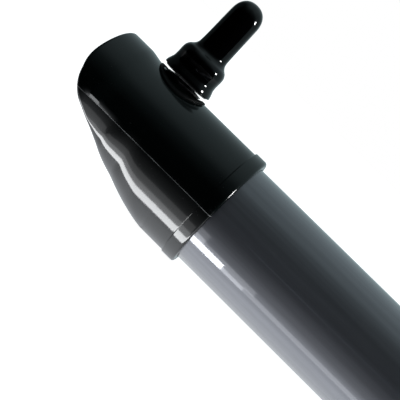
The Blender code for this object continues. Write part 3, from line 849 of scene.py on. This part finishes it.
def make_tubes(coating):
    """Crossbar with holes for the U-bolts' legs, and arms that are mitred and holed inside the shoes."""
    low, high = CROSSBAR
    path = [Vector((low.x + (high.x - low.x) * i / 24, CROSS_Y, AXIS_Z)) for i in range(25)]
    crossbar = finish_piece(
        "crossbar_coated", sweep(path, [TUBE_R, TUBE_R - TUBE_WALL]), coating, Matrix.Identity(4), "frame",
        ["crossbar_tube"],
    )
    holes = []
    for side in SIDES:
        for i in (1, 2):
            pivot = JOINTS[f"wing_turn_{side}_{i}"]["pos_m"]
            holes.append((rod(ROD_HOLE_R, -30 * MM, 30 * MM), at(pivot[0], CROSS_Y) @ ALONG_Y))
    boolean(crossbar, holes)
    for side in SIDES:
        tube_bm = sweep(arm_path(side), [TUBE_R, TUBE_R - TUBE_WALL])
        mitre = shoe_place(side) @ sole_tilt() @ Matrix.Translation((0, 0, SOLE_WALL + 0.3 * MM))
        arm = finish_piece(
            f"arm_coated_{side}", tube_bm, coating, Matrix.Identity(4), "frame", [f"arm_tube_{side}"],
        )
        reach = 80 * MM
        wedge = block((reach, 2 * reach, reach), 0.5 * MM, 1)
        boolean(arm, [
            (wedge, mitre @ Matrix.Translation((0, 0, -reach / 2))),
            (rod(TUBE_NECK_HOLE_R, 0, 30 * MM, 48), screw_place(side)),
        ])
        make_sleeve(side, coating)


def make_sleeve(side, coating):
    """Splice sleeve with rounded ends."""
    low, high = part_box(f"splice_sleeve_{side}")
    outer, inner = (high.z - low.z) / 2, TUBE_R + 0.2 * MM
    ease = 1.2 * MM
    profile = [(inner, low.x), *arc((outer - ease, low.x + ease), ease, -90, 0, 5)]
    profile += [*arc((outer - ease, high.x - ease), ease, 0, 90, 5), (inner, high.x)]
    return finish_piece(
        f"splice_sleeve_{side}_coated", lathe(profile, 112), coating, at(0, CROSS_Y) @ ALONG_X, "frame",
        [f"splice_sleeve_{side}"],
    )


def make_splice_fasteners(zinc):
    """Button-head bolts with a key's socket, through sleeve and tubes, and their cap nuts."""
    for side in SIDES:
        for i in (1, 2):
            bolt_low, bolt_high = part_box(f"splice_bolt_{side}_{i}")
            nut_low, nut_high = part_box(f"splice_nut_{side}_{i}")
            place = at((bolt_low.x + bolt_high.x) / 2, CROSS_Y) @ ALONG_Y
            head_low = bolt_low.y - CROSS_Y
            head_r = (bolt_high.x - bolt_low.x) / 2
            seat = -(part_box("splice_sleeve_right")[1].z - AXIS_Z) - 0.05 * MM
            shank_end = nut_low.y - CROSS_Y + 4.5 * MM
            profile = [(0, head_low)] + arc((head_r - 3.4 * MM, head_low + 3.4 * MM), 3.4 * MM, -90, -5, 8)
            profile += [(head_r, seat), (3 * MM, seat), (3 * MM, shank_end), (0, shank_end)]
            bolt = finish_piece(
                f"splice_bolt_{side}_{i}_button", lathe(profile, 64), zinc, place, "frame",
                [f"splice_bolt_{side}_{i}"],
            )
            boolean(bolt, [(hexagon(2.3 * MM, head_low - 1 * MM, head_low + 2.2 * MM), place)])
            make_cap_nut(side, i, place, nut_low.y - CROSS_Y, nut_high.y - CROSS_Y, zinc)


def make_cap_nut(side, i, place, low, high, zinc):
    """Hexagon with a domed cap, bored blind for the bolt."""
    corner = 5.7 * MM
    flat_top = low + 4.6 * MM
    dome_r = high - flat_top
    profile = [(0, low), (corner - 0.6 * MM, low), (corner, low + 0.4 * MM), (corner, flat_top - 0.4 * MM)]
    profile += [(corner - 0.8 * MM, flat_top), (dome_r + 0.1 * MM, flat_top)]
    profile += arc((0, flat_top), dome_r, 0, 90, 10)[:-1] + [(0, high)]
    nut = finish_piece(
        f"splice_nut_{side}_{i}_cap", lathe(profile, 64), zinc, place, "frame", [f"splice_nut_{side}_{i}"],
    )
    boolean(nut, [(hexagon(corner, low - 1 * MM, high + 1 * MM), place)], "INTERSECT")
    boolean(nut, [(rod(3.1 * MM, low - 1 * MM, low + 4.8 * MM), place)])


# ---------------------------------------------------------------- rail clamps

def make_saddle(name, plastic):
    """Moulded block with a hollow for the crossbar, two rod holes and shallow grooves at its ends."""
    low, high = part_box(name)
    size = high - low
    centre = (high + low) / 2
    piece = finish_piece(
        f"{name}_moulding", block(size, 2 * MM, 4), plastic, Matrix.Translation(centre), "frame", [name],
    )
    half_span = 22 * MM
    cutters = [(rod(TUBE_R + 0.15 * MM, -size.x, size.x, 96), at(centre.x, CROSS_Y) @ ALONG_X)]
    for leg in (-1, 1):
        hole = rod(ROD_HOLE_R, -60 * MM, 60 * MM)
        cutters.append((hole, at(centre.x + leg * half_span, CROSS_Y) @ ALONG_Y))
        for i in (-1, 0, 1):
            groove = block((1.6 * MM, 1.4 * MM, size.z * 0.7), 0.3 * MM, 2)
            middle = (centre.x + leg * size.x / 2, centre.y + i * size.y * 0.24, centre.z)
            cutters.append((groove, Matrix.Translation(middle)))
    return boolean(piece, cutters)


def make_rail_pad(side, material):
    """Rubber facing with level ribs."""
    name = f"rail_pad_{side}"
    low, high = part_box(name)
    size = high - low
    centre = (high + low) / 2
    piece = finish_piece(
        f"{name}_ribbed", block(size, 0.7 * MM, 3), material, Matrix.Translation(centre), "frame", [name],
    )
    grooves = []
    for i in range(6):
        z = centre.z + (i - 2.5) * 4.4 * MM
        groove = block((size.x - 5 * MM, 1.2 * MM, 1.6 * MM), 0.25 * MM, 2)
        grooves.append((groove, Matrix.Translation((centre.x, low.y, z))))
    return boolean(piece, grooves)


def make_u_bolt(side, zinc):
    """Square U-bolt with rolled threads on both legs."""
    name = f"u_bolt_{side}"
    low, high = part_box(name)
    half = (high.x - low.x) / 2 - ROD_R
    x = (high.x + low.x) / 2
    bend = 11 * MM
    bow, front = low.y + ROD_R, high.y
    thread_length = 62 * MM
    rows = 8
    path, share = [], []

    def leg(sign, order):
        count = int(thread_length / PITCH * rows)
        cut = [front - thread_length * i / count for i in range(count + 1)]
        run = bow + bend - front + thread_length
        plain = [front - thread_length + run * i / 8 for i in range(1, 8)]
        for y in (cut + plain)[::order]:
            path.append(Vector((x + sign * half, y, AXIS_Z)))
            share.append(1.0 if y > front - thread_length + 0.5 * PITCH else 0.0)

    leg(-1, 1)
    for sign, start in ((-1, 180), (1, 270)):
        centre = Vector((x + sign * (half - bend), bow + bend, AXIS_Z))
        for i in range(17):
            turn = math.radians(start + 90 * i / 16)
            path.append(centre + bend * Vector((math.cos(turn), math.sin(turn), 0)))
            share.append(0.0)
    leg(1, -1)

    facets = 28
    mesh_bm = bmesh.new()
    rings = []
    for i, point in enumerate(path):
        across = across_path(path, i)
        end_taper = max(0.8 * MM - (front - point.y), 0) if share[i] else 0
        ring = []
        for j in range(facets):
            turn = 2 * math.pi * j / facets
            radius = thread_radius(point.y, turn, ROD_R)[0] if share[i] else ROD_R
            radius -= end_taper * 0.8
            offset = across * radius * math.cos(turn) + Vector((0, 0, radius * math.sin(turn)))
            ring.append(mesh_bm.verts.new(point + offset))
        rings.append(ring)
    skin(mesh_bm, rings)
    mesh_bm.faces.new(rings[0])
    mesh_bm.faces.new(rings[-1])
    return finish_piece(
        f"{name}_threaded", mesh_bm, zinc, Matrix.Identity(4), name, [name], sharp=50,
    )


def make_clamp_hardware(side, zinc):
    """The two plain washers and wing nuts of a rail clamp."""
    for i in (1, 2):
        low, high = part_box(f"clamp_washer_{side}_{i}")
        centre_x = (low.x + high.x) / 2
        inner, outer, edge = 4.3 * MM, (high.x - low.x) / 2, 0.25 * MM
        y0, y1 = low.y - CROSS_Y, high.y - CROSS_Y
        profile = [(inner, y0), (outer - edge, y0), (outer, y0 + edge), (outer, y1 - edge)]
        profile += [(outer - edge, y1), (inner + edge, y1), (inner, y1 - edge)]
        place = at(centre_x, CROSS_Y) @ ALONG_Y
        finish_piece(
            f"clamp_washer_{side}_{i}_plain", lathe(profile, 72), zinc, place, "frame",
            [f"clamp_washer_{side}_{i}"],
        )
        make_wing_nut(side, i, zinc)


def make_wing_nut(side, i, zinc):
    """Cast wing nut: a tapered hub and two swept wings, melted together by a remesh and smoothing."""
    name = f"wing_nut_{side}_{i}"
    low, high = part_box(name)
    place = Matrix.Translation(((low.x + high.x) / 2, low.y, AXIS_Z)) @ ALONG_Y
    hub = [
        (4.2, 0), (7.4, 0), (7.5, 0.5), (7.5, 2.6), (6.9, 4.0), (6.2, 7.6), (5.8, 9.0), (4.8, 9.0),
        (4.2, 8.4),
    ]
    piece = finish_piece(
        f"{name}_cast", lathe([(r * MM, h * MM) for r, h in hub], 64), zinc, place, name, [name],
    )
    wings = []
    edge = spline([
        (5.0, 1.2), (9.0, 2.2), (13.8, 5.4), (17.2, 9.2), (18.7, 12.6), (18.4, 15.4), (16.6, 16.8),
        (14.4, 16.2), (12.2, 12.8), (9.4, 9.4), (5.0, 7.8),
    ], 3)
    for turn in (0, 180):
        wing = bmesh.new()
        layers = []
        for y, shrink in ((-1.5, 0.93), (-1.0, 1.0), (1.0, 1.0), (1.5, 0.93)):
            layers.append([
                wing.verts.new(((11 + (a - 11) * shrink) * MM, y * MM, (8 + (b - 8) * shrink) * MM))
                for a, b in edge
            ])
        skin(wing, layers)
        wing.faces.new(layers[0])
        wing.faces.new(layers[-1])
        wings.append((wing, place @ Matrix.Rotation(math.radians(turn), 4, "Z")))
    boolean(piece, wings, "UNION")
    melt = piece.modifiers.new("melt", "REMESH")
    melt.mode = "VOXEL"
    melt.voxel_size = 0.42 * MM
    soften = piece.modifiers.new("soften", "SMOOTH")
    soften.iterations = 5
    soften.factor = 0.6
    settle(piece)
    piece.data.shade_smooth()
    if not piece.data.materials:
        piece.data.materials.append(zinc)
    return piece


# ---------------------------------------------------------------- studio

def make_floor():
    """A pale light table: it glows, so the object stands on it almost without a shadow."""
    made, g = new_material("light_table", (0.8, 0.8, 0.8), 0.9)
    g.set(Emission_Color=(1, 1, 1, 1), Emission_Strength=1.0)
    mesh_bm = bmesh.new()
    bmesh.ops.create_grid(mesh_bm, x_segments=2, y_segments=2, size=30)
    mesh = new_mesh("floor", mesh_bm)
    mesh.materials.append(made)
    floor = new_object("floor", mesh)
    floor.visible_glossy = False
    floor.visible_diffuse = False


def make_world():
    """The table's glow from below, a black curtain towards -X and dim light from above and from +X."""
    world = bpy.data.worlds.new("studio")
    world.use_nodes = True
    bpy.context.scene.world = world
    tree = world.node_tree
    g = Graph(tree, tree.nodes["Background"])
    direction = g.node("ShaderNodeTexCoord").outputs["Generated"]
    part = g.node("ShaderNodeSeparateXYZ", Vector=direction).outputs
    # 0 straight down, 90 towards -X, 180 straight up, 270 towards +X
    turn = g.math("ARCTAN2", part[0], part[2])
    ramp = g.node("ShaderNodeValToRGB", Fac=g.between(turn, -math.pi, math.pi))
    stops = (
        (0, 2.0), (25, 1.5), (44, 0.6), (62, 0.2), (75, 0.07), (88, 0.0), (118, 0.004), (130, 0.04),
        (145, 0.1), (163, 0.3), (180, 0.38), (270, 0.45), (300, 0.8), (330, 1.4), (360, 2.0),
    )
    # the ramp's colours are halved to stay below 1 and doubled here, with less light along +Y and -Y
    beyond_toes = g.between(part[1], 0.3, 0.75, 2.0, 0.25)
    beyond_crossbar = g.between(part[1], -0.8, -0.35, 1.1, 2.0)
    share = g.math("MINIMUM", beyond_toes, beyond_crossbar)
    elements = ramp.color_ramp.elements
    while len(elements) < len(stops):
        elements.new(0.5)
    for element, (degrees, value) in zip(elements, stops):
        element.position = degrees / 360
        # the light from above is the cooler one
        red = 0.78 if 100 < degrees < 300 else 0.96
        blue = 1.05
        element.color = (value * red / 2, value / 2, value * blue / 2, 1)
    glow = g.node("ShaderNodeVectorMath", {"operation": "SCALE"})
    g.feed(glow.inputs[0], ramp.outputs["Color"])
    g.feed(glow.inputs["Scale"], share)
    plain = g.node("ShaderNodeLightPath").outputs["Is Camera Ray"]
    g.set(Color=g.mix(plain, glow.outputs["Vector"], (1.0, 1.0, 1.0)), Strength=1.0)


def area_light(name, place, aim, size, radiance, colour=(1, 1, 1)):
    """A rectangle of even brightness, which the camera doesn't see."""
    data = bpy.data.lights.new(name, "AREA")
    data.shape = "RECTANGLE"
    data.size, data.size_y = size
    data.energy = radiance * math.pi * size[0] * size[1]
    data.color = colour
    light = new_object(name, data)
    light.location = place
    light.rotation_euler = (Vector(aim) - Vector(place)).to_track_quat("-Z", "Y").to_euler()
    light.visible_camera = False
    return light


def make_camera():
    """Between the arms, a little above the right shoe, rolled so that the clamp screw points up and right."""
    right = Vector((0.1474, -0.7091, 0.6895)).normalized()
    up = Vector((0.0383, 0.7007, 0.7124)).normalized()
    back = right.cross(up).normalized()
    up = back.cross(right)
    stand = Vector((ARM_X, MOUTH_Y, AXIS_Z)) + Vector((-346.6, -20.07, 44.3)) * MM
    data = bpy.data.cameras.new("camera")
    data.lens = 99.3
    data.sensor_width = 36
    data.clip_start = 0.01
    camera = new_object("camera", data)
    camera.matrix_world = Matrix.Translation(stand) @ Matrix((right, up, back)).transposed().to_4x4()
    bpy.context.scene.camera = camera


def make_lights():
    """Light strips let into the table along the shoe and the tube, and a window beyond the crossbar."""
    # name, place across from the tube's axis and width, start and end from the shoe's mouth, radiance
    strips = (
        ("strip", -22.0, 5.2, -12.5, 56, 14.0),
        ("strip_glow", -26.5, 8.0, -3, 56, 2.3),
        ("strip_haze", -32.0, 20.0, -3, 56, 0.7),
        ("strip_soft", -25.5, 6.0, -26, -3, 0.9),
        ("strip_fade", -21.5, 4.4, -22, -12.5, 2.8),
        ("strip_tail", -21.5, 4.0, -75, -22, 1.1),
    )
    for name, x, width, start, end, radiance in strips:
        middle = MOUTH_Y + (start + end) / 2 * MM
        place = Vector((ARM_X + x * MM, middle, 0.4 * MM))
        size = (width * MM, (end - start) * MM)
        light = area_light(name, place, place + Vector((0, 0, 1)), size, radiance, (0.97, 0.985, 1.0))
        light.visible_diffuse = False
    # for the glints on the grip
    shoe = Vector((ARM_X, MOUTH_Y, AXIS_Z))
    area_light("window", shoe + Vector((24, -575, 228)) * MM, shoe, (100 * MM, 100 * MM), 60.0)


def build():
    coating = tube_coating()
    plastic = shoe_plastic()
    vinyl = dipped_vinyl()
    dark = black_steel()
    zinc = zinc_steel()
    grained = block_plastic()
    tread = rubber()
    seal = seat_black()
    bpy.context.scene.view_settings.view_transform = "Standard"
    make_camera()
    make_world()
    make_floor()
    make_lights()
    make_tubes(coating)
    make_splice_fasteners(zinc)
    for side in SIDES:
        make_shell(side, "upper", plastic)
        make_shell(side, "lower", plastic)
        make_flash(side, plastic)
        make_sole_pad(side, tread)
        make_shell_screw(side, zinc)
        make_seat_ring(side, seal)
        make_insert_nut(side, dark)
        make_captive_washer(side, dark)
        make_clamp_screw(side, dark)
        make_grip(side, vinyl)
        make_saddle(f"rail_saddle_{side}", grained)
        make_saddle(f"nut_saddle_{side}", grained)
        make_rail_pad(side, tread)
        make_u_bolt(side, zinc)
        make_clamp_hardware(side, zinc)


build()
